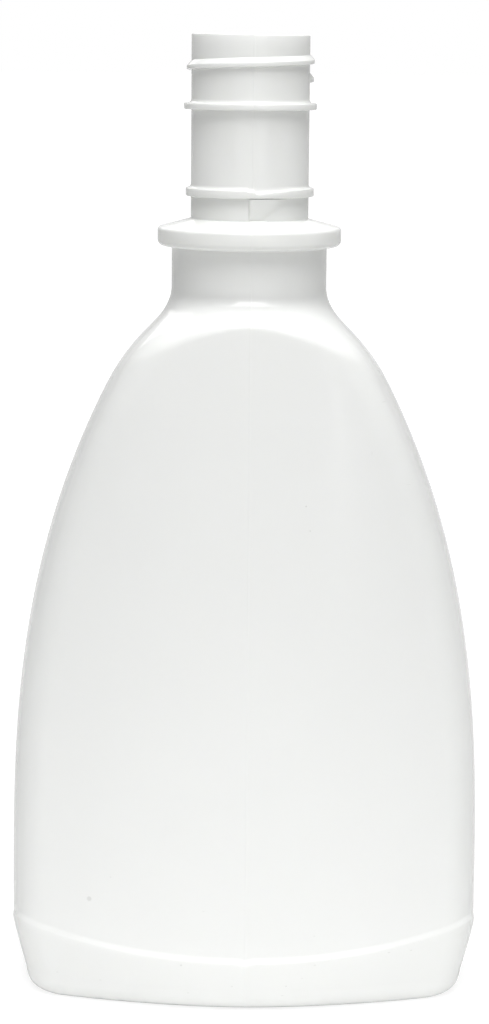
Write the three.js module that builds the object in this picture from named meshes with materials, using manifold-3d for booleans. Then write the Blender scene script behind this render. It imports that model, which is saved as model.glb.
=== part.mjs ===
// Mouthwash bottle, blow moulded in one piece, with its mouth open.
// Millimetres, +Z up. The origin is the centre of the foot, the front faces -Y.
import * as THREE from 'three';
import Module from 'manifold-3d';

// Body: half sizes, and the radii of the arcs that make its plan
const bodyHalfWidth = 51.2;
const bodyHalfDepth = 30;
const shoulderHalfDepth = 22;
const frontPlanRadius = 129;
const sidePlanRadius = 70;
const cornerPlanRadius = 10;

// Shoulder: a cone that turns about the neck and is rounded into the panel
const shoulderHeight = 145.5;
const shoulderConeRadius = 20;
const shoulderConeRun = 1 / 1.3;
const neckFilletReach = 3;
const frontEdgeRounding = 5;
const sideEdgeRounding = 1.2;
const edgeChangeStart = 0.3;
const edgeChangeSpan = 0.5;

// Side outline: one curve from the widest point up into the shoulder
const widestHeight = 20;
const widestPull = 39.3;
const shoulderAimHalfWidth = 21.05;
const shoulderAimRise = 3.3;
const shoulderPullAcross = 29.72;
const shoulderPullDown = 46;

// Label panel: its lower edge is a smile over a small ledge, shallower at the corners
const creaseHeight = 12.3;
const creaseRise = 6.6;
const sideCreaseDrop = 4.3;
const sideCreaseReach = 19;
const ledgeDepth = 0.7;
const cornerLedgeDepth = 0.2;
const ledgeHeight = 1.5;
const ledgeFadeStart = 0.4;
const ledgeFadeSpan = 0.5;

// Foot
const footCornerRadius = 4;
const sideSkirtTaper = 2.6;
const frontSkirtTaper = 0.1;
const footRingWidth = 4.5;
const pushUpHeight = 2.6;
const pushUpRun = 5;

// Walls
const bodyWall = 1;
const lowerNeckWall = 1.5;
const baseWall = 1.6;

// Lower neck, flange and the collar that falls from the neck to the flange
const lowerNeckHeight = 8.01;
const lowerNeckRadius = 16.7;
const flangeHeight = 4.1;
const flangeRadius = 19.75;
const flangeRounding = 1.8;
const collarRise = 1.8;

// Threaded finish
const finishHeight = 39.4;
const finishRadius = 12.65;
const boreRadius = 10.9;
const throatRadius = 14.7;
const rimRounding = 0.25;
const upperBeadBelowRim = 15.9;
const upperBeadThickness = 1.35;
const upperBeadRadius = 14.2;
const lowerBeadAboveCollar = 5.1;
const lowerBeadThickness = 1.9;
const lowerBeadRadius = 13.75;
const beadFillet = 0.85;
const beadRounding = 0.25;

// The lower bead ends at the parting line and starts again as a ramp, with a wedge under the gap
const beadEndAngle = THREE.MathUtils.degToRad(-2);
const rampStartAngle = THREE.MathUtils.degToRad(5);
const rampEndAngle = THREE.MathUtils.degToRad(41);
const gapShare = 0.15;
const rampLowShare = 0.45;
const wedgeProud = 0.75;
const wedgeFootProud = 0.35;
const wedgeWidth = THREE.MathUtils.degToRad(40);
const wedgeFootWidth = THREE.MathUtils.degToRad(16);
const wedgeToe = 2.5;

// Thread
const threadBelowRim = 9.25;
const threadPitch = 4.05;
const threadTurns = 1.3;
const threadStartAngle = THREE.MathUtils.degToRad(-15);
const threadRadius = 13.65;
const threadWidth = 2.5;
const threadCrest = 1;
const threadUnderside = 0.15;
const threadRunOut = THREE.MathUtils.degToRad(22);
const threadRoot = 0.5;
const threadEndSink = 0.2;

// Fineness
const frontSteps = 8;
const cornerSteps = 5;
const sideSteps = 2;
const finishSteps = 60;
const threadStepsPerTurn = 48;
const panelRows = 8;
const insideRows = 5;
const edgeRows = [-0.6, -0.3, 0, 0.3, 0.6, 1];
const flareRows = [0.25, 0.5, 0.75, 1];
const pushUpRows = [0, 0.6, 1];
const wedgeRows = [0.1, 0.55, 0.98];
const footTurns = [25, 50, 72, 90];
const flangeTurns = [-90, -55, -20, 20, 55, 80];
const filletTurns = [5, 45, 85];
const beadEndStep = THREE.MathUtils.degToRad(0.4);

// Heights that follow from the sizes above
const flareTop = shoulderHeight
  + (shoulderConeRadius - lowerNeckRadius + neckFilletReach) / shoulderConeRun;
const flangeBottom = flareTop + lowerNeckHeight;
const flangeTop = flangeBottom + flangeHeight;
const collarTop = flangeTop + collarRise;
const totalHeight = collarTop + finishHeight;
const shoulderAimHeight = shoulderHeight + shoulderAimRise;

const front = THREE.MathUtils.degToRad(270);

const wasm = await Module();
wasm.setup();

const smoothStep = (x) => THREE.MathUtils.smoothstep(x, 0, 1);

// The value between low and high up to which a test holds, found by halving
function lastThatHolds(low, high, holds) {
  const tolerance = 1e-7;
  while (high - low > tolerance) {
    const middle = (low + high) / 2;
    if (holds(middle)) low = middle;
    else high = middle;
  }
  return low;
}

// Rounded minimum of two radii, for the edge between the shoulder and the panel
function roundedMin(p, q, rounding) {
  const blend = Math.max(rounding - Math.abs(p - q), 0) / rounding;
  return Math.min(p, q) - (blend * blend * rounding) / 4;
}

// Half width of the body at a height, from the side outline curve
const outline = new THREE.CubicBezierCurve(
  new THREE.Vector2(bodyHalfWidth, widestHeight),
  new THREE.Vector2(bodyHalfWidth, widestHeight + widestPull),
  new THREE.Vector2(shoulderAimHalfWidth + shoulderPullAcross, shoulderAimHeight - shoulderPullDown),
  new THREE.Vector2(shoulderAimHalfWidth, shoulderAimHeight),
);

function halfWidth(height) {
  if (height <= widestHeight) return bodyHalfWidth;
  const part = lastThatHolds(0, 1, (tried) => outline.getPoint(tried).y < height);
  return outline.getPoint(part).x;
}

function halfDepth(height) {
  const share = (height - creaseHeight) / (shoulderAimHeight - creaseHeight);
  return THREE.MathUtils.lerp(bodyHalfDepth, shoulderHalfDepth, THREE.MathUtils.clamp(share, 0, 1));
}

// One quarter of the plan: a front arc, a corner arc and a side arc, all tangent
function planArcs(across, deep) {
  const frontCentre = new THREE.Vector2(0, deep - frontPlanRadius);
  const sideCentre = new THREE.Vector2(across - sidePlanRadius, 0);
  const toFront = frontPlanRadius - cornerPlanRadius;
  const toSide = sidePlanRadius - cornerPlanRadius;
  const between = sideCentre.clone().sub(frontCentre);
  const gap = between.length();
  const along = (gap * gap + toFront * toFront - toSide * toSide) / (2 * gap);
  const off = Math.sqrt(toFront * toFront - along * along);
  const unit = between.divideScalar(gap);
  const cornerCentre = new THREE.Vector2(
    frontCentre.x + unit.x * along + unit.y * off,
    frontCentre.y + unit.y * along - unit.x * off,
  );
  const frontJoin = cornerCentre.clone().sub(frontCentre).setLength(frontPlanRadius).add(frontCentre);
  const sideJoin = cornerCentre.clone().sub(sideCentre).setLength(sidePlanRadius).add(sideCentre);
  return { frontCentre, sideCentre, cornerCentre, frontJoin, sideJoin };
}

// Distance from the axis to a circle, along a direction
function reach(direction, centre, radius) {
  const ahead = direction.dot(centre);
  return ahead + Math.sqrt(ahead * ahead - centre.lengthSq() + radius * radius);
}

// Radius of the plan at an angle
function planRadius(angle, across, deep) {
  const direction = new THREE.Vector2(Math.abs(Math.cos(angle)), Math.abs(Math.sin(angle)));
  const arcs = planArcs(across, deep);
  const turn = direction.angle();
  if (turn > arcs.frontJoin.angle()) return reach(direction, arcs.frontCentre, frontPlanRadius);
  if (turn > arcs.sideJoin.angle()) return reach(direction, arcs.cornerCentre, cornerPlanRadius);
  return reach(direction, arcs.sideCentre, sidePlanRadius);
}

const bodyPlanRadius = (angle, height) => planRadius(angle, halfWidth(height), halfDepth(height));

// Radius of the shoulder's cone, rounded into the lower neck
function shoulderRadius(height) {
  const cone = shoulderConeRadius + (shoulderHeight - height) * shoulderConeRun;
  return -roundedMin(-cone, -lowerNeckRadius, neckFilletReach);
}

// The edge under the shoulder is soft at the front and crisp towards the sides
function edgeRounding(angle) {
  const aside = smoothStep((Math.abs(Math.cos(angle)) - edgeChangeStart) / edgeChangeSpan);
  return THREE.MathUtils.lerp(frontEdgeRounding, sideEdgeRounding, aside);
}

const outerRadius = (angle, height) =>
  roundedMin(bodyPlanRadius(angle, height), shoulderRadius(height), edgeRounding(angle));

// Height at which the panel meets the shoulder's cone
function edgeHeight(angle) {
  const isPanel = (height) => shoulderRadius(height) > bodyPlanRadius(angle, height);
  return lastThatHolds(creaseHeight, shoulderAimHeight, isPanel);
}

// Share of the half width at which an angle meets the widest plan
const acrossShare = (angle) =>
  (Math.abs(Math.cos(angle)) * planRadius(angle, bodyHalfWidth, bodyHalfDepth)) / bodyHalfWidth;

// The crease smiles across the front and back panels, and again across each side
function creaseAt(angle) {
  const share = acrossShare(angle);
  const away = Math.abs(Math.sin(angle)) * planRadius(angle, bodyHalfWidth, bodyHalfDepth);
  const smile = Math.max(1 - (away / sideCreaseReach) ** 2, 0);
  return creaseHeight + creaseRise * share * share - sideCreaseDrop * smile * smile;
}

// Profile of the body at one angle: up the outside, over the top and down the inside
function bodyProfile(angle) {
  const share = acrossShare(angle);
  const crease = creaseAt(angle);
  const fade = smoothStep((share - ledgeFadeStart) / ledgeFadeSpan);
  const ledge = THREE.MathUtils.lerp(ledgeDepth, cornerLedgeDepth, fade);
  const edge = edgeHeight(angle);
  const rounding = edgeRounding(angle);
  const creaseRadius = bodyPlanRadius(angle, crease);
  const aside = Math.cos(angle) * Math.cos(angle);
  const footTop = creaseRadius - THREE.MathUtils.lerp(frontSkirtTaper, sideSkirtTaper, aside);
  const footFlat = footTop - footCornerRadius;
  const ringInner = footFlat - footRingWidth;

  const points = [[0, pushUpHeight]];
  for (const part of pushUpRows) {
    points.push([ringInner - pushUpRun * (1 - part), pushUpHeight * (1 - smoothStep(part))]);
  }
  points.push([footFlat, 0]);
  for (const degrees of footTurns) {
    const turn = THREE.MathUtils.degToRad(degrees);
    points.push([
      footFlat + footCornerRadius * Math.sin(turn),
      footCornerRadius * (1 - Math.cos(turn)),
    ]);
  }
  const skirtTop = crease - ledgeHeight;
  points.push([creaseRadius + ledge, skirtTop]);
  points.push([creaseRadius, crease]);

  const panelTop = edge - rounding;
  for (let row = 1; row <= panelRows; row += 1) {
    const height = THREE.MathUtils.lerp(crease, panelTop, row / panelRows);
    points.push([outerRadius(angle, height), height]);
  }
  for (const rise of edgeRows) {
    const height = edge + rise * rounding;
    points.push([outerRadius(angle, height), height]);
  }
  const flareLow = edge + rounding;
  for (const part of flareRows) {
    const height = THREE.MathUtils.lerp(flareLow, flareTop, part);
    points.push([outerRadius(angle, height), height]);
  }

  // Into the flange, then down the inside
  const buried = flangeBottom + flangeHeight / 2;
  points.push([lowerNeckRadius, buried]);
  points.push([lowerNeckRadius - lowerNeckWall, buried]);
  points.push([lowerNeckRadius - lowerNeckWall, flareTop]);
  for (const part of [0.6, 0.2]) {
    const height = THREE.MathUtils.lerp(flareLow, flareTop, part);
    points.push([outerRadius(angle, height) - lowerNeckWall, height]);
  }
  for (const rise of [0.5, -0.5]) {
    const height = edge + rise * rounding;
    points.push([outerRadius(angle, height) - lowerNeckWall, height]);
  }
  for (let row = insideRows - 1; row >= 0; row -= 1) {
    const height = THREE.MathUtils.lerp(crease, panelTop, row / insideRows);
    points.push([outerRadius(angle, height) - bodyWall, height]);
  }
  points.push([footTop - bodyWall, footCornerRadius]);
  points.push([footFlat, baseWall]);
  points.push([ringInner, baseWall]);
  points.push([ringInner - pushUpRun, pushUpHeight + baseWall]);
  points.push([0, pushUpHeight + baseWall]);
  return points;
}

// Angles of the body's columns: a few on each arc of the plan, the same in each quarter
function bodyAngles() {
  const arcs = planArcs(bodyHalfWidth, bodyHalfDepth);
  const cornerLow = arcs.sideJoin.angle();
  const cornerHigh = arcs.frontJoin.angle();
  const quarter = [];
  for (let step = 0; step < sideSteps; step += 1) quarter.push((cornerLow * step) / sideSteps);
  for (let step = 0; step < cornerSteps; step += 1) {
    quarter.push(THREE.MathUtils.lerp(cornerLow, cornerHigh, step / cornerSteps));
  }
  for (let step = 0; step < frontSteps; step += 1) {
    quarter.push(THREE.MathUtils.lerp(cornerHigh, Math.PI / 2, step / frontSteps));
  }
  const half = [...quarter, Math.PI / 2, ...quarter.slice(1).reverse().map((angle) => Math.PI - angle)];
  return [...half, ...half.map((angle) => angle + Math.PI)];
}

// Solid from profiles around the axis. A profile that starts and ends on the axis closes there,
// any other one closes on itself.
function solidFromProfiles(angles, profileAt) {
  const profiles = angles.map(profileAt);
  const rows = profiles[0].length;
  const points = [];
  const numbers = profiles.map((profile, column) => profile.map(([radius, height], row) => {
    if (radius === 0 && column > 0) return row === 0 ? 0 : rows - 1;
    points.push(radius * Math.cos(angles[column]), radius * Math.sin(angles[column]), height);
    return points.length / 3 - 1;
  }));
  const onAxis = profiles[0][0][0] === 0;
  const triangles = [];
  const add = (a, b, c) => {
    if (a !== b && b !== c && a !== c) triangles.push(a, b, c);
  };
  for (let column = 0; column < angles.length; column += 1) {
    const here = numbers[column];
    const next = numbers[(column + 1) % angles.length];
    for (let row = 0; row < (onAxis ? rows - 1 : rows); row += 1) {
      const above = (row + 1) % rows;
      add(here[row], next[row], next[above]);
      add(here[row], next[above], here[above]);
    }
  }
  return solidFromMesh(points, triangles);
}

function solidFromMesh(points, triangles) {
  return new wasm.Manifold(new wasm.Mesh({
    numProp: 3,
    vertProperties: new Float32Array(points),
    triVerts: new Uint32Array(triangles),
  }));
}

// Angle past the front, from -180 to 180 degrees
const pastFront = (angle) =>
  THREE.MathUtils.euclideanModulo(angle - front + Math.PI, 2 * Math.PI) - Math.PI;

function lowerBeadShare(angle) {
  const past = pastFront(angle);
  if (past <= beadEndAngle || past >= rampEndAngle) return 1;
  if (past <= rampStartAngle) return gapShare;
  const along = (past - rampStartAngle) / (rampEndAngle - rampStartAngle);
  return THREE.MathUtils.lerp(rampLowShare, 1, along);
}

// How far the wedge under the bead's gap stands proud, at a share of the way up to the bead
function wedgeAt(angle, share) {
  const past = pastFront(angle);
  const width = THREE.MathUtils.lerp(wedgeFootWidth, wedgeWidth, share);
  if (past <= beadEndAngle || past >= width) return 0;
  const proud = THREE.MathUtils.lerp(wedgeFootProud, wedgeProud, share);
  return proud * (1 - Math.max(past, 0) / width);
}

// A bead: flat under, upright crest, and a hollow fillet from its top to the neck
function beadPoints(bottom, thickness, radius) {
  const top = bottom + thickness;
  const fillet = Math.min(beadFillet, radius - beadRounding - finishRadius);
  const points = [
    [finishRadius, bottom],
    [radius - beadRounding, bottom],
    [radius, bottom + beadRounding],
    [radius, top - beadRounding],
    [radius - beadRounding, top],
  ];
  for (const degrees of filletTurns) {
    const turn = THREE.MathUtils.degToRad(degrees);
    points.push([
      finishRadius + fillet * (1 - Math.sin(turn)),
      top + beadFillet * (1 - Math.cos(turn)),
    ]);
  }
  return points;
}

// Flange and finish at one angle: up the outside and down the bore
function finishProfile(angle) {
  const lowerBeadBottom = collarTop + lowerBeadAboveCollar;
  const upperBeadBottom = totalHeight - upperBeadBelowRim;
  const proud = lowerBeadShare(angle) * (lowerBeadRadius - finishRadius);
  const points = [[throatRadius, flangeBottom]];
  for (const degrees of flangeTurns) {
    const turn = THREE.MathUtils.degToRad(degrees);
    const middle = degrees < 0 ? flangeBottom + flangeRounding : flangeTop - flangeRounding;
    points.push([
      flangeRadius - flangeRounding + flangeRounding * Math.cos(turn),
      middle + flangeRounding * Math.sin(turn),
    ]);
  }
  const toe = wedgeAt(angle, 0);
  points.push([finishRadius + toe * wedgeToe, collarTop - toe]);
  for (const share of wedgeRows) {
    points.push([finishRadius + wedgeAt(angle, share), collarTop + share * lowerBeadAboveCollar]);
  }
  points.push(...beadPoints(lowerBeadBottom, lowerBeadThickness, finishRadius + proud));
  points.push(...beadPoints(upperBeadBottom, upperBeadThickness, upperBeadRadius));
  points.push([finishRadius, totalHeight - rimRounding]);
  points.push([finishRadius - rimRounding, totalHeight]);
  points.push([boreRadius + rimRounding, totalHeight]);
  points.push([boreRadius, totalHeight - rimRounding]);
  points.push([boreRadius, collarTop]);
  return points;
}

// Even steps round the finish, with close ones at the bead's end
function finishAngles() {
  const angles = [front + beadEndAngle + beadEndStep];
  for (let step = 0; step < finishSteps; step += 1) {
    angles.push(front + (2 * Math.PI * step) / finishSteps);
  }
  angles.push(front + 2 * Math.PI + beadEndAngle - beadEndStep);
  return angles;
}

// Section of the thread: its root is buried in the finish
function threadSection(crest, height) {
  const low = height - threadWidth / 2;
  return [
    [finishRadius - threadRoot, low],
    [crest, low + threadUnderside],
    [crest, low + threadUnderside + threadCrest],
    [finishRadius - threadRoot, low + threadWidth],
  ];
}

// Thread: its section swept round the finish on a helix, fading in and out at its ends
function threadSolid() {
  const steps = Math.round(threadTurns * threadStepsPerTurn);
  const sweep = threadTurns * 2 * Math.PI;
  const points = [];
  const triangles = [];
  for (let step = 0; step <= steps; step += 1) {
    const turned = (sweep * step) / steps;
    const angle = threadStartAngle + turned;
    const fade = smoothStep(Math.min(turned, sweep - turned) / threadRunOut);
    const crest = THREE.MathUtils.lerp(finishRadius - threadEndSink, threadRadius, fade);
    const height = totalHeight - threadBelowRim + (threadPitch * turned) / (2 * Math.PI);
    for (const [radius, level] of threadSection(crest, height)) {
      points.push(radius * Math.cos(angle), radius * Math.sin(angle), level);
    }
  }
  const corners = points.length / 3 / (steps + 1);
  for (let step = 0; step < steps; step += 1) {
    for (let corner = 0; corner < corners; corner += 1) {
      const here = step * corners + corner;
      const beside = step * corners + ((corner + 1) % corners);
      triangles.push(here, here + corners, beside + corners);
      triangles.push(here, beside + corners, beside);
    }
  }
  const last = steps * corners;
  triangles.push(0, 1, 2, 0, 2, 3);
  triangles.push(last, last + 2, last + 1, last, last + 3, last + 2);
  return solidFromMesh(points, triangles);
}

function geometryFromSolid(solid) {
  const mesh = solid.getMesh();
  const geometry = new THREE.BufferGeometry();
  const positions = new Float32Array(mesh.numVert * 3);
  for (let vertex = 0; vertex < mesh.numVert; vertex += 1) {
    for (let axis = 0; axis < 3; axis += 1) {
      positions[vertex * 3 + axis] = mesh.vertProperties[vertex * mesh.numProp + axis];
    }
  }
  geometry.setAttribute('position', new THREE.BufferAttribute(positions, 3));
  geometry.setIndex(Array.from(mesh.triVerts));
  geometry.computeVertexNormals();
  return geometry;
}

const whitePlastic = new THREE.MeshStandardMaterial({ color: 0xeff1ee, roughness: 0.3, metalness: 0 });

function makeBottle() {
  const body = solidFromProfiles(bodyAngles(), bodyProfile);
  const finish = solidFromProfiles(finishAngles(), finishProfile);
  const solid = body.add(finish).add(threadSolid());
  const bottle = new THREE.Mesh(geometryFromSolid(solid), whitePlastic);
  bottle.name = 'bottle';
  return bottle;
}

const model = new THREE.Group();
model.add(makeBottle());

export default model;
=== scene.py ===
import bpy
import bmesh
import math
import numpy as np
from mathutils import Matrix, Vector


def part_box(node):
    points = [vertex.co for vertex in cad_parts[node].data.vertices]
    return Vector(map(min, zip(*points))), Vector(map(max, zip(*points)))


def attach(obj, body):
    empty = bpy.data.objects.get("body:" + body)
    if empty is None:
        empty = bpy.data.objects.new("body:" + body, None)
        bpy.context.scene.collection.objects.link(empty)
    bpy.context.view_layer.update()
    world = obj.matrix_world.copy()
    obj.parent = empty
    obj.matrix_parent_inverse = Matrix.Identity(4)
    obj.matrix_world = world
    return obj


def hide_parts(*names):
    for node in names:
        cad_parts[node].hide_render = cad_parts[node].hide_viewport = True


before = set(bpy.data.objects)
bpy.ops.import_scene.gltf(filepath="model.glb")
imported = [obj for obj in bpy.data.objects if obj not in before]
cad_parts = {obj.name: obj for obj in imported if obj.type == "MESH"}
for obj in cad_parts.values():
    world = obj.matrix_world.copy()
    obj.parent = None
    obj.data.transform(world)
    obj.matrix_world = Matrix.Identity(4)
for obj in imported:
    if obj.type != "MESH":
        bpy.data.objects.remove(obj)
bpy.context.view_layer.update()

boxLow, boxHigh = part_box("bottle")
mm = 0.001
frontAngle = -math.pi / 2  # the front faces -Y
touch = 0.01  # millimetres, for finding vertices by their place
weldSpun = 0.005 * mm
weldParts = 0.01 * mm
smoothAngle = math.radians(28)

# Sizes in millimetres, the overall ones from the frame
body = {
    "halfDepth": 30.0,
    "shoulderHalfDepth": 22.0,
    "frontPlanRadius": 129.0,
    "sidePlanRadius": 70.0,
    "cornerPlanRadius": 10.0,
    "widestHeight": 20.0,
    "outlinePull": (39.3, 29.72, 46.0),  # up from the widest point, then across and down at the top
    "outlineAim": (21.05, 148.8),  # the side outline's upper end, across and up
    "neckRadius": 16.7,
    # the shoulder: front and side values, and what the corners have more
    "shoulderTop": (151.0, 149.8),
    "shoulderRun": (1.35, 0.87, 0.3),  # outwards for each millimetre down
    "shoulderFillet": (1.8, 3.0),
    "edgeRounding": (1.6, 1.2, 1.8),
    "flareTop": 153.69,
    "crease": 12.3,
    "creaseRise": 6.6,
    "sideCrease": (4.3, 19.0),  # its drop in the middle of a side, and how far round that reaches
    "ledgeDepth": 0.65,
    "cornerLedgeDepth": 0.2,
    "ledgeFade": (0.4, 0.5),  # shares of the half width: where the ledge gets shallower, over how much
    "ledgeHeight": 1.5,
    "panelStep": 0.25,  # the panel lies this much below its borders at the sides
    "panelRecess": (0.55, 0.35),  # where it gets deeper, and over how much
    "panelEdge": (0.95, 0.03),  # where it steps back up, and over how much
    "frontSkirtTaper": 0.1,
    "sideSkirtTaper": 2.6,
    "skirtBulge": 0.3,
    "footCorner": 4.0,
    "footRing": 4.5,
    "pushUp": 2.6,
    "pushUpRun": 5.0,
    "wall": 1.0,
    "neckWall": 1.5,
    "baseWall": 1.6,
    "wallChange": (120, 30),  # the height where the wall starts to thicken, and over how much
}
body["halfWidth"] = boxHigh[0] / mm - body["cornerLedgeDepth"]
columns = {
    # zones round the bottle from its front: start, end and step, in degrees
    "front": (-2.5, 4.5, 0.2),
    "rightFront": (4.5, 40, 1.6),
    "rightFrontCorner": (40, 72, 0.8),
    "right": (72, 108, 1.6),
    "rightBackCorner": (108, 140, 0.8),
    "rightBack": (140, 175.5, 1.6),
    "back": (175.5, 180.5, 0.3),
    "leftBack": (180.5, 220, 1.6),
    "leftBackCorner": (220, 252, 0.8),
    "left": (252, 288, 1.6),
    "leftFrontCorner": (288, 320, 0.8),
    "leftFront": (320, 357.5, 1.6),
}
rows = {
    # how many rings each stretch has
    "foot": 10,
    "skirt": 8,
    "ledge": 9,
    "panel": 44,
    "edge": 26,
    "edgeReach": (1.4, 1.6),  # how far the edge's close rows reach down and up, in roundings
    "shoulder": 16,
    "inside": 30,
    "insideCorner": 6,
    "insideBase": 5,
    "outline": 600,
    "halvings": 30,
}
partingLine = {
    "heights": (0, 150, 160, 168, 207),
    "across": (0.37, 0.37, 0.35, 0.6, 0.75),
    "width": 0.16,
    "proud": 0.035,
    "kink": 0.4,  # the crease dips a little where the line crosses it
    "kinkWidth": 1.2,
}


def columnTurns():
    turns = []
    for start, end, step in columns.values():
        count = round((end - start) / step)
        turns += [math.radians(start + (end - start) * k / count) for k in range(count)]
    return np.array(turns)


turns = columnTurns()
columnAngles = frontAngle + turns
sortedTurns = np.sort(turns % (2 * math.pi))
sortedColumns = np.argsort(turns % (2 * math.pi))


def columnOf(x, y):
    # number of the column that a point stands in
    turn = (math.atan2(y, x) - frontAngle) % (2 * math.pi)
    near = np.searchsorted(sortedTurns, turn - math.radians(0.05)) % len(turns)
    return int(sortedColumns[near])


def smoothStep(x):
    x = np.clip(x, 0, 1)
    return x * x * (3 - 2 * x)


def between(a, b, share):
    return a + (b - a) * share


def roundedMin(p, q, rounding):
    blend = np.maximum(rounding - np.abs(p - q), 0) / rounding
    return np.minimum(p, q) - blend * blend * rounding / 4


def outlineTable():
    # side outline as one curve, from the widest point up into the shoulder
    up, across, down = body["outlinePull"]
    aimX, aimZ = body["outlineAim"]
    points = np.array([
        (body["halfWidth"], body["widestHeight"]),
        (body["halfWidth"], body["widestHeight"] + up),
        (aimX + across, aimZ - down),
        (aimX, aimZ),
    ])
    t = np.linspace(0, 1, rows["outline"])[:, None]
    weights = ((1 - t) ** 3, 3 * t * (1 - t) ** 2, 3 * t * t * (1 - t), t ** 3)
    return sum(w * p for w, p in zip(weights, points))


outline = outlineTable()


def halfWidthAt(height):
    return np.interp(height, outline[:, 1], outline[:, 0])


def halfDepthAt(height):
    share = (height - body["crease"]) / (body["outlineAim"][1] - body["crease"])
    return between(body["halfDepth"], body["shoulderHalfDepth"], np.clip(share, 0, 1))


def planRadius(angle, across, deep):
    # front arc, corner arc and side arc of one quarter, each tangent to the next
    dx = np.abs(np.cos(angle))
    dy = np.abs(np.sin(angle))
    frontR, sideR, cornerR = body["frontPlanRadius"], body["sidePlanRadius"], body["cornerPlanRadius"]
    frontY = deep - frontR
    sideX = across - sideR
    toFront = frontR - cornerR
    toSide = sideR - cornerR
    gap = np.hypot(sideX, frontY)
    along = (gap ** 2 + toFront ** 2 - toSide ** 2) / (2 * gap)
    off = np.sqrt(toFront ** 2 - along ** 2)
    ux = sideX / gap
    uy = -frontY / gap
    cornerX = ux * along + uy * off
    cornerY = frontY + uy * along - ux * off
    frontScale = frontR / toFront
    frontTurn = np.arctan2(frontY + (cornerY - frontY) * frontScale, cornerX * frontScale)
    sideScale = sideR / toSide
    sideTurn = np.arctan2(cornerY * sideScale, sideX + (cornerX - sideX) * sideScale)

    def reach(cx, cy, radius):
        ahead = dx * cx + dy * cy
        return ahead + np.sqrt(np.maximum(ahead ** 2 - cx ** 2 - cy ** 2 + radius ** 2, 0))

    turn = np.arctan2(dy, dx)
    onFront = reach(0, frontY, frontR)
    onCorner = reach(cornerX, cornerY, cornerR)
    onSide = reach(sideX, 0, sideR)
    return np.where(turn > frontTurn, onFront, np.where(turn > sideTurn, onCorner, onSide))


def bodyRadius(angle, height):
    return planRadius(angle, halfWidthAt(height), halfDepthAt(height))


def panelRadius(angle, height):
    # the plan with the panel's edge, a shallow step that runs up near each side
    radius = bodyRadius(angle, height)
    share = np.abs(np.cos(angle)) * radius / halfWidthAt(height)
    deepens, deepening = body["panelRecess"]
    start, width = body["panelEdge"]
    recess = smoothStep((share - deepens) / deepening) * (1 - smoothStep((share - start) / width))
    return radius - body["panelStep"] * recess


def frontToSide(values, angle):
    # value at an angle, from those at the front, at the side and added at the corners
    corner = values[2] if len(values) > 2 else 0
    return between(values[0], values[1], np.cos(angle) ** 2) + corner * np.sin(2 * angle) ** 2


def shoulderRadius(angle, height):
    # falls from the neck to the panels' top edges, flatter towards the corners
    below = frontToSide(body["shoulderTop"], angle) - height
    slope = body["neckRadius"] + below * frontToSide(body["shoulderRun"], angle)
    return -roundedMin(-slope, -body["neckRadius"], frontToSide(body["shoulderFillet"], angle))


def edgeRounding(angle):
    return frontToSide(body["edgeRounding"], angle)


def outerRadius(angle, height):
    return roundedMin(panelRadius(angle, height), shoulderRadius(angle, height), edgeRounding(angle))


def edgeHeight(angle):
    # height at which the panel meets the shoulder, by halving
    low = np.full_like(angle, body["crease"])
    high = np.full_like(angle, body["outlineAim"][1])
    for _ in range(rows["halvings"]):
        middle = (low + high) / 2
        isPanel = shoulderRadius(angle, middle) > bodyRadius(angle, middle)
        low = np.where(isPanel, middle, low)
        high = np.where(isPanel, high, middle)
    return low


def partingAcross(height):
    # how far right of the middle the line runs
    return np.interp(height, partingLine["heights"], partingLine["across"])


def partingRidge(x, height):
    off = (x - partingAcross(height)) / partingLine["width"]
    return partingLine["proud"] * np.exp(-off ** 2)


neck = {
    "lowerNeck": 8.35,
    "underFillet": 0.5,
    "flangeHeight": 4.15,
    "flangeRadius": 19.75,
    "flangeRounding": (1.3, 0.8),  # under and over
    "flangeTopTurn": 76,  # degrees of rounding before the collar's slope starts
    "collarRise": 1.71,
    "collarRows": (0.3, 0.5, 0.6, 0.7, 0.8, 0.88, 0.95),
    "corbelRows": 12,
    "radius": 12.65,
    "bore": 10.9,
    "throat": 14.7,
    "throatRounding": 0.6,
    "rimRounding": 0.2,
    "rimRow": 3,  # a row this far below the rim
    "rimUneven": 0.3,  # the cut rim is a little lower on the right
    "rimShares": (0.5, 0.42, 0.08),  # all round, on the right, and in five small waves
    "rimReach": (2, 1.5),  # how far down it starts, and over how much it grows
    "lowerBead": (4.8, 1.75, 13.75),  # bottom above the collar, thickness, radius
    "upperBead": (15.9, 1.35, 14.2),  # bottom below the rim, thickness, radius
    "beadRounding": 0.22,
    "beadFillet": 0.85,
}
flareTop = body["flareTop"]
flangeBottom = flareTop + neck["lowerNeck"]
flangeTop = flangeBottom + neck["flangeHeight"]
collarTop = flangeTop + neck["collarRise"]
rim = boxHigh[2] / mm


def creaseHeight(angle, widest):
    # higher towards the corners, lower again in the middle of a side
    share = np.abs(np.cos(angle)) * widest / body["halfWidth"]
    drop, reach = body["sideCrease"]
    smile = np.maximum(1 - (np.sin(angle) * widest / reach) ** 2, 0) ** 2
    off = (np.cos(angle) * widest - partingAcross(0)) / partingLine["kinkWidth"]
    kink = partingLine["kink"] * np.exp(-off ** 2)
    return body["crease"] + body["creaseRise"] * share ** 2 - drop * smile - kink


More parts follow.
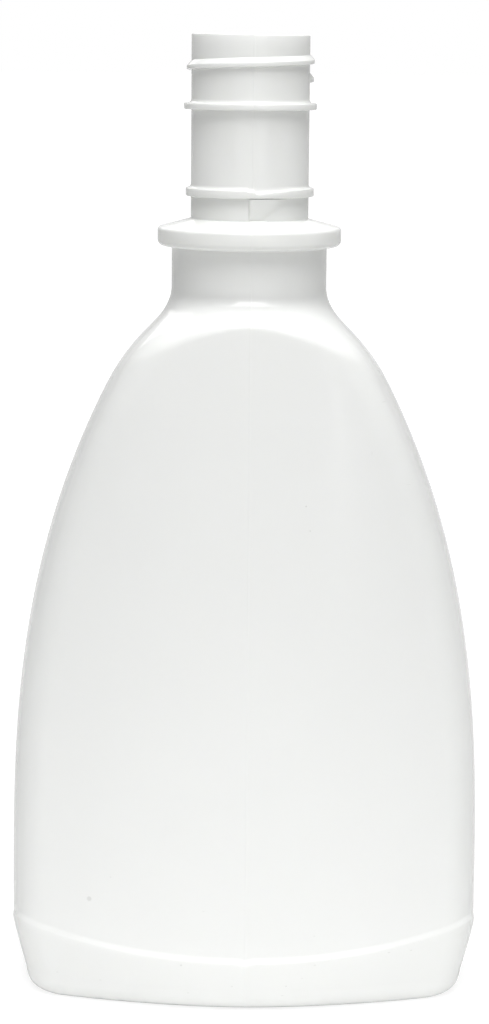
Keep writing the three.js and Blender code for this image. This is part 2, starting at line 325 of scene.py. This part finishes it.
def bodyRings(angle):
    # rings of the body, from the middle of the base up the outside to the flange
    widest = planRadius(angle, body["halfWidth"], body["halfDepth"])
    share = np.abs(np.cos(angle)) * widest / body["halfWidth"]
    crease = creaseHeight(angle, widest)
    fades, fading = body["ledgeFade"]
    ledge = between(body["ledgeDepth"], body["cornerLedgeDepth"], smoothStep((share - fades) / fading))
    edge = edgeHeight(angle)
    rounding = edgeRounding(angle)
    fullR = bodyRadius(angle, crease)
    creaseR = panelRadius(angle, crease)
    taper = between(body["frontSkirtTaper"], body["sideSkirtTaper"], np.cos(angle) ** 2)
    footTop = fullR - taper
    footFlat = footTop - body["footCorner"]
    ringInner = footFlat - body["footRing"]
    flat = np.zeros_like(angle)
    outside = []
    for part in np.linspace(0, 1, rows["foot"]):
        outside.append((ringInner - body["pushUpRun"] * (1 - part),
                        flat + body["pushUp"] * (1 - smoothStep(part))))
    outside.append(((ringInner + footFlat) / 2, flat))
    for turn in np.linspace(0, math.pi / 2, rows["foot"]):
        outside.append((footFlat + body["footCorner"] * math.sin(turn),
                        flat + body["footCorner"] * (1 - math.cos(turn))))
    skirtTop = crease - body["ledgeHeight"]
    for part in np.linspace(0, 1, rows["skirt"] + 1)[1:]:
        bulged = part + body["skirtBulge"] * part * (1 - part)
        outside.append((between(footTop, fullR + ledge, bulged),
                        between(body["footCorner"], skirtTop, part)))
    for part in np.linspace(0, 1, rows["ledge"] + 1)[1:]:
        outside.append((between(fullR + ledge, creaseR, smoothStep(part)),
                        skirtTop + body["ledgeHeight"] * part))
    reachDown, reachUp = rows["edgeReach"]
    panelTop = edge - rounding * reachDown
    for part in np.linspace(0, 1, rows["panel"] + 1)[1:]:
        height = between(crease, panelTop, part)
        outside.append((outerRadius(angle, height), height))
    flareLow = edge + rounding * reachUp
    for part in np.linspace(0, 1, rows["edge"] + 1)[1:]:
        height = between(panelTop, flareLow, part)
        outside.append((outerRadius(angle, height), height))
    for part in np.linspace(0, 1, rows["shoulder"] + 1)[1:]:
        height = between(flareLow, flareTop, part)
        outside.append((outerRadius(angle, height), height))
    outside.append((flat + body["neckRadius"], flat + flangeBottom - neck["underFillet"]))
    lined = []
    for radius, height in outside:
        lined.append((radius + partingRidge(radius * np.cos(angle), height), height))

    inside = [
        (flat + neck["throat"], flat + flangeBottom),
        (flat + body["neckRadius"] - body["neckWall"], flat + flangeBottom - neck["throatRounding"]),
    ]
    thickens, thickening = body["wallChange"]
    for part in np.linspace(1, 0, rows["inside"]):
        height = between(crease, flareTop, part)
        wall = between(body["wall"], body["neckWall"], smoothStep((height - thickens) / thickening))
        inside.append((outerRadius(angle, height) - wall, height))
    innerCorner = body["footCorner"] - body["wall"]
    for turn in np.linspace(math.pi / 2, 0, rows["insideCorner"]):
        inside.append((footFlat + innerCorner * math.sin(turn),
                       flat + body["baseWall"] + innerCorner * (1 - math.cos(turn))))
    for part in np.linspace(1, 0, rows["insideBase"]):
        inside.append((ringInner - body["pushUpRun"] * (1 - part),
                       flat + body["baseWall"] + body["pushUp"] * (1 - smoothStep(part))))
    return lined, inside


def clearSelection():
    if bpy.context.object and bpy.context.object.mode != "OBJECT":
        bpy.ops.object.mode_set(mode="OBJECT")
    bpy.ops.object.select_all(action="DESELECT")


def drawRing(obj, ring, first=False):
    # puts the selected vertices on a ring of the bottle, each in its own column
    radius, height = ring
    mesh = bmesh.from_edit_mesh(obj.data)
    picked = [v for v in mesh.verts if v.select]
    if first:
        picked.sort(key=lambda v: (math.atan2(v.co.y, v.co.x) - frontAngle - turns[0]) % (2 * math.pi))
        numbers = range(len(picked))
    else:
        numbers = [columnOf(v.co.x, v.co.y) for v in picked]
    for v, column in zip(picked, numbers):
        r = float(radius[column]) * mm
        angle = columnAngles[column]
        v.co = (r * math.cos(angle), r * math.sin(angle), float(height[column]) * mm)
    bmesh.update_edit_mesh(obj.data)


def lofted(name, rings, closeStart=False, closeEnd=False):
    # a circle extruded ring by ring, each ring drawn to the bottle's plan
    clearSelection()
    bpy.ops.mesh.primitive_circle_add(vertices=len(turns), radius=0.02, fill_type="NOTHING")
    obj = bpy.context.object
    obj.name = name
    bpy.ops.object.mode_set(mode="EDIT")
    bpy.ops.mesh.select_all(action="SELECT")
    drawRing(obj, rings[0], first=True)
    if closeStart:
        bpy.ops.mesh.extrude_region_move()
        bpy.ops.mesh.merge(type="CENTER")
        mesh = bmesh.from_edit_mesh(obj.data)
        for v in mesh.verts:
            v.select = v.is_boundary
        mesh.select_flush(True)
        bmesh.update_edit_mesh(obj.data)
    for ring in rings[1:]:
        bpy.ops.mesh.extrude_region_move()
        drawRing(obj, ring)
    if closeEnd:
        bpy.ops.mesh.extrude_region_move()
        bpy.ops.mesh.merge(type="CENTER")
    bpy.ops.object.mode_set(mode="OBJECT")
    return obj


def arcPoints(x, z, radius, startTurn, endTurn, count):
    # points of a round stretch, its turns in degrees from the way outwards
    points = []
    for turn in np.radians(np.linspace(startTurn, endTurn, count)):
        points.append((x + radius * math.cos(turn), z + radius * math.sin(turn)))
    return points


def beadPoints(bottom, thickness, radius):
    # flat under, upright crest, and a hollow fillet from its top to the neck
    soft = neck["beadRounding"]
    hollow = neck["beadFillet"]
    top = bottom + thickness
    points = [(neck["radius"], bottom)]
    points += arcPoints(radius - soft, bottom + soft, soft, -90, 0, 4)
    points.append((radius, bottom + thickness / 2))
    points += arcPoints(radius - soft, top - soft, soft, 0, 90, 4)
    reachOut = min(hollow, radius - soft - neck["radius"])
    for turn in np.radians(np.linspace(15, 90, 5)):
        points.append((neck["radius"] + reachOut * (1 - math.sin(turn)),
                       top + hollow * (1 - math.cos(turn))))
    return points


def neckOutline():
    # out under the flange, over it, up the neck to the rim and down the bore
    fillet = neck["underFillet"]
    points = arcPoints(body["neckRadius"] + fillet, flangeBottom - fillet, fillet, 180, 90, 5)
    under, over = neck["flangeRounding"]
    edge = neck["flangeRadius"]
    points += arcPoints(edge - under, flangeBottom + under, under, -90, 0, 9)
    points += arcPoints(edge - over, flangeTop - over, over, 0, neck["flangeTopTurn"], 8)
    edgeX, edgeZ = points[-1]
    for part in neck["collarRows"]:
        points.append((between(edgeX, neck["radius"], part), between(edgeZ, collarTop, part)))
    above, thickness, radius = neck["lowerBead"]
    for part in np.linspace(0, 0.97, neck["corbelRows"]):
        points.append((neck["radius"], collarTop + above * part))
    points += beadPoints(collarTop + above, thickness, radius)
    below, thickness, radius = neck["upperBead"]
    points += beadPoints(rim - below, thickness, radius)
    soft = neck["rimRounding"]
    points.append((neck["radius"], rim - neck["rimRow"]))
    points += arcPoints(neck["radius"] - soft, rim - soft, soft, 0, 90, 4)
    points += arcPoints(neck["bore"] + soft, rim - soft, soft, 90, 180, 4)
    points.append((neck["bore"], rim - neck["rimRow"]))
    points.append((neck["bore"], collarTop))
    points.append((neck["throat"], flangeBottom))
    return points


def spun(name, points):
    # a vertex drawn along an outline, then spun about the bottle's axis
    clearSelection()
    bpy.ops.mesh.primitive_plane_add(size=0.001, location=(0, 0, 0))
    obj = bpy.context.object
    obj.name = name
    bpy.ops.object.mode_set(mode="EDIT")
    bpy.ops.mesh.select_all(action="SELECT")
    bpy.ops.mesh.merge(type="CENTER")
    bpy.ops.mesh.select_all(action="SELECT")
    bpy.ops.transform.translate(value=(0, -points[0][0] * mm, points[0][1] * mm))
    for last, this in zip(points, points[1:]):
        step = (0, -(this[0] - last[0]) * mm, (this[1] - last[1]) * mm)
        bpy.ops.mesh.extrude_region_move(TRANSFORM_OT_translate={"value": step})
    bpy.ops.mesh.select_all(action="SELECT")
    bpy.ops.mesh.spin(steps=len(turns), angle=2 * math.pi, center=(0, 0, 0), axis=(0, 0, 1))
    bpy.ops.mesh.select_all(action="SELECT")
    bpy.ops.mesh.remove_doubles(threshold=weldSpun)
    bpy.ops.object.mode_set(mode="OBJECT")
    return obj


ramp = {
    # where the lower bead ends, where it starts again and where it is whole, in degrees
    "end": -2.0,
    "start": 4.6,
    "whole": 41.0,
    "gapProud": 0.9,  # share of the bead's depth
    "startProud": 0.9,
    "gapLow": 0.3,  # how far the crest's top lies below the whole bead's
    "startLow": 0.85,
    "still": 0.3,  # this much of the bead's side stays at its place
}
wedge = {
    # the corbel under the gap, wide at the bead and narrow at the collar
    "left": -1.8,
    "footRight": 9.0,
    "topRight": 42.0,
    "leftSoft": 2.6,
    "rightFade": (20, 25),  # where it starts to end on the right, and over how much
    "proud": 1.0,
    "bow": 0.55,  # under 1 leans out more at its foot
    "lipMiddle": 8.0,
    "lipWidth": 9.0,
    "lipReach": 1.1,
    "lipHeight": 0.22,
    "lipSoft": 0.35,
}


def beadShare(past):
    # depth share and lowering of the lower bead's crest, at degrees past the front
    if past <= ramp["end"] or past >= ramp["whole"]:
        return 1, 0
    if past <= ramp["start"]:
        return ramp["gapProud"], ramp["gapLow"]
    along = (past - ramp["start"]) / (ramp["whole"] - ramp["start"])
    return between(ramp["startProud"], 1, along), ramp["startLow"] * (1 - along)


def wedgeProud(past, share):
    # how far the corbel stands out, at a share of the way from the collar up to the bead
    low = np.clip((past - wedge["footRight"]) / (wedge["topRight"] - wedge["footRight"]), 0, 1)
    up = max((share - low) / max(1 - low, 0.01), 0)
    fades, fading = wedge["rightFade"]
    side = smoothStep((past - wedge["left"]) / wedge["leftSoft"])
    side *= 1 - smoothStep((past - fades) / fading)
    return wedge["proud"] * up ** wedge["bow"] * side


def shapeNeck(obj):
    # moves the spun neck's vertices to the columns, and shapes what isn't round
    above, thickness, _ = neck["lowerBead"]
    beadBottom = collarTop + above
    beadTop = beadBottom + thickness
    hollow = neck["beadFillet"]
    still = ramp["still"]
    rimAll, rimRight, rimWaves = neck["rimShares"]
    rimDown, rimGrowth = neck["rimReach"]
    for v in obj.data.vertices:
        spunTurn = (math.atan2(v.co.y, v.co.x) - frontAngle) % (2 * math.pi)
        column = round(spunTurn / (2 * math.pi) * len(turns)) % len(turns)
        angle = columnAngles[column]
        past = math.degrees(turns[column])
        past = (past + 180) % 360 - 180
        r = math.hypot(v.co.x, v.co.y) / mm
        z = v.co.z / mm
        onNeck = r > neck["radius"] - touch
        if onNeck and beadBottom - touch < z < beadTop + hollow + touch:
            share, lowered = beadShare(past)
            r = neck["radius"] + (r - neck["radius"]) * share
            if z <= beadTop:
                z -= lowered * max((z - beadBottom - still) / (thickness - still), 0)
            else:
                z -= lowered * (1 - (z - beadTop) / hollow)
        elif onNeck and collarTop - touch < z < beadBottom - touch:
            r += wedgeProud(past, (z - collarTop) / above)
        elif onNeck and flangeTop < z <= collarTop - touch:
            off = (past - wedge["lipMiddle"]) / wedge["lipWidth"]
            lipEdge = neck["radius"] + wedge["lipReach"] * max(1 - off ** 2, 0)
            onLip = 1 - smoothStep((r - lipEdge) / wedge["lipSoft"])
            z += wedge["lipHeight"] * onLip * (abs(off) < 1)
        if r > neck["radius"] - touch:
            r += partingRidge(r * math.cos(angle), z)
        if z > rim - rimDown:
            drop = rimAll + rimRight * math.cos(angle) + rimWaves * math.sin(5 * angle)
            z -= neck["rimUneven"] * drop * min((z - rim + rimDown) / rimGrowth, 1)
        v.co = (r * math.cos(angle) * mm, r * math.sin(angle) * mm, z * mm)


thread = {
    "belowRim": 9.25,
    "startAngle": math.radians(-15),
    "pitch": 4.05,
    "turns": 1.3,
    "bow": 0.55,  # the thread runs this much above an even helix half way round
    "radius": 13.65,
    "width": 2.5,
    "crest": 0.95,
    "underside": 0.15,
    "rounding": 0.16,
    "slope": (0.25, 0.75),  # where the sloped top nears the neck: out from it, and above the crest
    "runOut": math.radians(22),
    "root": 0.5,
    "endSink": 0.2,
    "steps": 260,
}


def threadSection(crest):
    # flat under, rounded crest, sloped back above
    low = -thread["width"] / 2
    root = neck["radius"] - thread["root"]
    soft = thread["rounding"]
    crestLow = low + thread["underside"]
    crestHigh = crestLow + thread["crest"]
    points = [(root, low)]
    points += arcPoints(crest - soft, crestLow + soft, soft, -85, 0, 4)
    points += arcPoints(crest - soft, crestHigh - soft, soft, 0, 50, 3)
    slopeOut, slopeUp = thread["slope"]
    points.append((neck["radius"] + slopeOut, crestHigh + slopeUp))
    points.append((root, low + thread["width"]))
    return points


def makeThread():
    # one section extruded step by step round the neck
    clearSelection()
    section = threadSection(thread["radius"])
    bpy.ops.mesh.primitive_circle_add(vertices=len(section), radius=0.001, fill_type="NGON")
    obj = bpy.context.object
    obj.name = "thread"
    bpy.ops.object.mode_set(mode="EDIT")
    bpy.ops.mesh.select_all(action="SELECT")
    mesh = bmesh.from_edit_mesh(obj.data)
    sweep = thread["turns"] * 2 * math.pi
    order = sorted(mesh.verts, key=lambda v: v.index)
    for step in range(thread["steps"] + 1):
        turned = sweep * step / thread["steps"]
        if step:
            bpy.ops.mesh.extrude_region_move()
            mesh = bmesh.from_edit_mesh(obj.data)
            mesh.verts.ensure_lookup_table()
            order = list(mesh.verts)[-len(section):]
        fade = float(smoothStep(min(turned, sweep - turned) / thread["runOut"]))
        crest = between(neck["radius"] - thread["endSink"], thread["radius"], fade)
        angle = thread["startAngle"] + turned
        rise = rim - thread["belowRim"] + thread["pitch"] * turned / (2 * math.pi)
        rise += thread["bow"] * math.sin(min(turned / 2, math.pi))
        for v, (radius, level) in zip(order, threadSection(crest)):
            radius = min(radius, crest)
            height = rise + level
            v.co = (radius * math.cos(angle) * mm, radius * math.sin(angle) * mm, height * mm)
        bmesh.update_edit_mesh(obj.data)
    bpy.ops.mesh.select_all(action="SELECT")
    bpy.ops.mesh.normals_make_consistent(inside=False)
    bpy.ops.object.mode_set(mode="OBJECT")
    return obj


def joinParts(parts, name):
    # one mesh from several, welded where their edges meet
    clearSelection()
    for obj in parts:
        obj.select_set(True)
    bpy.context.view_layer.objects.active = parts[0]
    bpy.ops.object.join()
    obj = bpy.context.object
    obj.name = name
    bpy.ops.object.mode_set(mode="EDIT")
    bpy.ops.mesh.select_all(action="SELECT")
    bpy.ops.mesh.remove_doubles(threshold=weldParts)
    bpy.ops.mesh.normals_make_consistent(inside=False)
    bpy.ops.object.mode_set(mode="OBJECT")
    return obj


def addThread(obj, ridge):
    # grows the thread onto the neck
    union = obj.modifiers.new("thread", "BOOLEAN")
    union.operation = "UNION"
    union.solver = "EXACT"
    union.object = ridge
    clearSelection()
    obj.select_set(True)
    bpy.context.view_layer.objects.active = obj
    bpy.ops.object.modifier_apply(modifier=union.name)
    bpy.data.objects.remove(ridge, do_unlink=True)


def makeBottle():
    outside, inside = bodyRings(columnAngles)
    outer = lofted("outer", outside, closeStart=True)
    inner = lofted("inner", inside, closeEnd=True)
    top = spun("neck", neckOutline())
    shapeNeck(top)
    bottle = joinParts([outer, inner, top], "bottle_shell")
    print("bottle shell:", len(bottle.data.vertices), "vertices,", len(turns), "columns")
    addThread(bottle, makeThread())
    clearSelection()
    bottle.select_set(True)
    bpy.context.view_layer.objects.active = bottle
    bpy.ops.object.shade_smooth_by_angle(angle=smoothAngle)
    triangles = sum(len(p.vertices) - 2 for p in bottle.data.polygons)
    print("bottle with thread:", triangles, "triangles")
    return bottle


plastic = {
    "colour": (0.88, 0.89, 0.87, 1),
    "roughness": 0.15,
    "roughnessSpread": 0.05,
    "ior": 1.5,
    "subsurface": 0.2,
    "subsurfaceScale": 0.003,
    "subsurfaceRadius": (1.0, 1.0, 0.9),
    # relief: size in metres, height in millimetres, stretch up the bottle, detail
    "relief": (
        (0.03, 0.05, 1.5, 1.0),  # slow waves
        (0.0014, 0.0012, 60.0, 1.0),  # fine lines up the body
        (0.0009, 0.0003, 1.0, 2.0),  # grain
    ),
    "mottle": (0.012, 2.0, 3.0),  # of the roughness: size, stretch and detail
}
marks = {
    "colour": (0.52, 0.53, 0.5, 1),
    "sharpness": 2.5,
    # on the front: across, height, half width, half height (all mm), strength
    "places": (
        (-33.2, 23.5, 0.62, 0.62, 0.34),
        (-13.3, 10.4, 0.30, 0.26, 0.30),
        (12.4, 109.0, 0.20, 0.20, 0.45),
        (13.3, 103.8, 0.17, 0.24, 0.35),
        (28.8, 130.4, 0.70, 0.12, 0.16),
        (26.2, 119.9, 0.12, 0.60, 0.14),
        (34.2, 113.0, 0.50, 0.10, 0.14),
        (15.3, 10.6, 0.35, 0.12, 0.30),
        (18.9, 11.9, 0.20, 0.12, 0.25),
        (31.3, 12.5, 0.35, 0.15, 0.28),
        (36.1, 12.5, 0.30, 0.14, 0.25),
        (9.2, 5.9, 0.25, 0.14, 0.35),
        (8.4, 3.7, 0.30, 0.12, 0.25),
        (12.6, 7.6, 0.18, 0.12, 0.25),
        (-2.4, 5.9, 0.35, 0.12, 0.25),
        (-11.8, 4.0, 0.30, 0.12, 0.22),
        (-30.8, 5.4, 0.35, 0.12, 0.22),
        (-40.3, 6.1, 0.30, 0.12, 0.22),
        (-8.6, 22.2, 0.30, 0.12, 0.18),
        (-28.6, 28.6, 0.20, 0.20, 0.20),
        (15.1, 16.8, 0.25, 0.12, 0.18),
    ),
}


class NodeTools:
    # short ways to add and link nodes
    def __init__(self, tree):
        self.tree = tree

    def add(self, kind, **values):
        node = self.tree.nodes.new("ShaderNode" + kind)
        for name, value in values.items():
            setattr(node, name, value)
        return node

    def link(self, out, into):
        self.tree.links.new(out, into)

    def math(self, operation, a, b=0.0, clamp=False):
        node = self.add("Math", operation=operation, use_clamp=clamp)
        for socket, value in zip(node.inputs, (a, b)):
            if hasattr(value, "is_output"):
                self.link(value, socket)
            else:
                socket.default_value = value
        return node.outputs[0]

    def noise(self, place, size, stretch=1.0, detail=2.0):
        # noise whose pattern is size metres across, and longer up the bottle by stretch
        mapping = self.add("Mapping")
        mapping.inputs["Scale"].default_value = (1 / size, 1 / size, 1 / (size * stretch))
        self.link(place, mapping.inputs["Vector"])
        node = self.add("TexNoise")
        node.inputs["Scale"].default_value = 1.0
        node.inputs["Detail"].default_value = detail
        self.link(mapping.outputs[0], node.inputs["Vector"])
        return node.outputs["Fac"]


def markShare(tools, place):
    # how much of a mark lies at a place, on the front half only
    total = 0.0
    for across, height, halfWidth, halfHeight, strength in marks["places"]:
        moved = tools.add("VectorMath", operation="SUBTRACT")
        tools.link(place, moved.inputs[0])
        moved.inputs[1].default_value = (across * mm, 0, height * mm)
        sized = tools.add("VectorMath", operation="MULTIPLY")
        tools.link(moved.outputs[0], sized.inputs[0])
        sized.inputs[1].default_value = (1 / (halfWidth * mm), 0, 1 / (halfHeight * mm))
        length = tools.add("VectorMath", operation="LENGTH")
        tools.link(sized.outputs[0], length.inputs[0])
        inside = tools.math("SUBTRACT", 1.0, length.outputs["Value"])
        inside = tools.math("MULTIPLY", inside, marks["sharpness"], True)
        total = tools.math("ADD", tools.math("MULTIPLY", inside, strength), total, True)
    split = tools.add("SeparateXYZ")
    tools.link(place, split.inputs[0])
    return tools.math("MULTIPLY", total, tools.math("LESS_THAN", split.outputs["Y"], 0.0))


def plasticMaterial():
    material = bpy.data.materials.new("white_plastic")
    material.use_nodes = True
    shader = material.node_tree.nodes["Principled BSDF"]
    tools = NodeTools(material.node_tree)
    shader.inputs["IOR"].default_value = plastic["ior"]
    shader.inputs["Subsurface Weight"].default_value = plastic["subsurface"]
    shader.inputs["Subsurface Radius"].default_value = plastic["subsurfaceRadius"]
    shader.inputs["Subsurface Scale"].default_value = plastic["subsurfaceScale"]
    place = tools.add("TexCoord").outputs["Object"]

    share = markShare(tools, place)
    mix = tools.add("Mix", data_type="RGBA")
    tools.link(share, mix.inputs["Factor"])
    mix.inputs[6].default_value = plastic["colour"]
    mix.inputs[7].default_value = marks["colour"]
    tools.link(mix.outputs[2], shader.inputs["Base Color"])

    relief = 0.0
    for size, height, stretch, detail in plastic["relief"]:
        pattern = tools.math("MULTIPLY", tools.noise(place, size, stretch, detail), height)
        relief = tools.math("ADD", pattern, relief)
    bump = tools.add("Bump")
    bump.inputs["Strength"].default_value = 1.0
    bump.inputs["Distance"].default_value = mm
    tools.link(relief, bump.inputs["Height"])
    tools.link(bump.outputs[0], shader.inputs["Normal"])

    mottled = tools.noise(place, *plastic["mottle"])
    spread = tools.math("MULTIPLY", tools.math("SUBTRACT", mottled, 0.5), plastic["roughnessSpread"])
    tools.link(tools.math("ADD", spread, plastic["roughness"]), shader.inputs["Roughness"])
    return material


bottle = makeBottle()
bottle.data.materials.clear()
bottle.data.materials.append(plasticMaterial())
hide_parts("bottle")
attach(bottle, "root")


camera = {
    "across": -0.00055,
    "distance": 0.6141,
    "height": 0.2046,
    "pitch": math.radians(9.32),
    "roll": math.radians(0.48),
    "lens": 100,
    "sensor": 36,
}


def makeCamera():
    data = bpy.data.cameras.new("camera")
    data.lens = camera["lens"]
    data.sensor_width = camera["sensor"]
    obj = bpy.data.objects.new("camera", data)
    bpy.context.scene.collection.objects.link(obj)
    place = Matrix.Translation((camera["across"], -camera["distance"], camera["height"]))
    look = Matrix.Rotation(math.pi / 2 - camera["pitch"], 4, "X")
    tilt = Matrix.Rotation(camera["roll"], 4, "Z")
    obj.matrix_world = place @ look @ tilt
    bpy.context.scene.camera = obj


def whiteForCamera(tree, shader, white, strength, output):
    # camera and transmission rays see the white shader, and glossy rays see it dimmer;
    # strength is the white shader's own socket
    tools = NodeTools(tree)
    paths = tools.add("LightPath").outputs
    seen = tools.math("MAXIMUM", paths["Is Camera Ray"], paths["Is Transmission Ray"])
    seen = tools.math("MAXIMUM", seen, paths["Is Glossy Ray"])
    dimming = tools.math("MULTIPLY", paths["Is Glossy Ray"], 1 - studio["glossy"])
    bright = strength.links[0].from_socket if strength.is_linked else strength.default_value
    tools.link(tools.math("MULTIPLY", bright, tools.math("SUBTRACT", 1.0, dimming)), strength)
    mix = tools.add("MixShader")
    tools.link(seen, mix.inputs[0])
    tools.link(shader.outputs[0], mix.inputs[1])
    tools.link(white.outputs[0], mix.inputs[2])
    tools.link(mix.outputs[0], output.inputs["Surface"])


studio = {
    "world": 0.22,
    "glossy": 0.62,  # how bright the white is in the bottle's sheen
    "lampAim": (0, 0, 0.1),
}
floorLooks = {
    "size": 40,
    "table": (0.2, 0.42),  # the table fades between these distances
    "bounce": (0.95, 0.2),  # near the bottle and far from it, as is the white
    "white": (1.12, 1.36),
    "shadowShare": 0.25,
    "matt": (0.9, 0.9, 0.9, 1),
    "roughness": 0.9,
}


def makeWorld():
    world = bpy.data.worlds.new("studio")
    bpy.context.scene.world = world
    world.use_nodes = True
    tree = world.node_tree
    plain = tree.nodes["Background"]
    plain.inputs["Strength"].default_value = studio["world"]
    white = NodeTools(tree).add("Background")
    white.inputs["Strength"].default_value = 1.0
    for background in (plain, white):
        background.inputs["Color"].default_value = (1, 1, 1, 1)
    whiteForCamera(tree, plain, white, white.inputs["Strength"], tree.nodes["World Output"])


def makeFloor():
    # a white table round the bottle throws light up at it, the rest of the floor little
    clearSelection()
    bpy.ops.mesh.primitive_plane_add(size=floorLooks["size"], location=(0, 0, 0))
    floor = bpy.context.object
    floor.name = "floor"
    material = bpy.data.materials.new("white_floor")
    material.use_nodes = True
    tools = NodeTools(material.node_tree)
    place = tools.add("TexCoord").outputs["Object"]
    away = tools.add("VectorMath", operation="LENGTH")
    tools.link(place, away.inputs[0])

    def fromTable(near, far):
        fade = tools.add("MapRange", interpolation_type="SMOOTHSTEP")
        tools.link(away.outputs["Value"], fade.inputs["Value"])
        values = (*floorLooks["table"], near, far)
        for socket, value in zip(("From Min", "From Max", "To Min", "To Max"), values):
            fade.inputs[socket].default_value = value
        return fade.outputs["Result"]

    shader = tools.tree.nodes["Principled BSDF"]
    grey = tools.add("CombineColor")
    for socket in grey.inputs:
        tools.link(fromTable(*floorLooks["bounce"]), socket)
    tools.link(grey.outputs[0], shader.inputs["Base Color"])
    shader.inputs["Roughness"].default_value = floorLooks["roughness"]
    shader.inputs["Specular IOR Level"].default_value = 0.0
    matt = tools.add("BsdfDiffuse")
    matt.inputs["Color"].default_value = floorLooks["matt"]
    white = tools.add("Emission")
    tools.link(fromTable(*floorLooks["white"]), white.inputs["Strength"])
    seen = tools.add("MixShader")
    seen.inputs[0].default_value = 1 - floorLooks["shadowShare"]
    tools.link(matt.outputs[0], seen.inputs[1])
    tools.link(white.outputs[0], seen.inputs[2])
    output = tools.tree.nodes["Material Output"]
    whiteForCamera(tools.tree, shader, seen, white.inputs["Strength"], output)
    floor.data.materials.append(material)


lamps = {
    "key": {"place": (0.08, -0.75, 1.35), "size": (0.9, 0.7), "power": 11.8},
    "top": {"place": (0.03, -0.05, 1.2), "size": (0.8, 0.6), "power": 8.4},
    "fill": {"place": (0.05, -2.4, 0.6), "size": (3.0, 2.0), "power": 12.0},
    "back": {"place": (-0.2, 1.2, 0.9), "size": (1.0, 0.8), "power": 3.0},
    "strip": {"place": (0.43, -1.18, 0.35), "size": (0.045, 1.5), "power": 0.5},
}


def makeLamps():
    aim = Vector(studio["lampAim"])
    for name, lamp in lamps.items():
        data = bpy.data.lights.new(name + "_lamp", "AREA")
        data.shape = "RECTANGLE"
        data.size, data.size_y = lamp["size"]
        data.energy = lamp["power"]
        obj = bpy.data.objects.new(name + "_lamp", data)
        bpy.context.scene.collection.objects.link(obj)
        obj.location = lamp["place"]
        obj.rotation_euler = (aim - obj.location).to_track_quat("-Z", "Y").to_euler()


makeCamera()
makeWorld()
makeFloor()
makeLamps()
bpy.context.scene.view_settings.view_transform = "Standard"
print("camera, floor and lights in place")
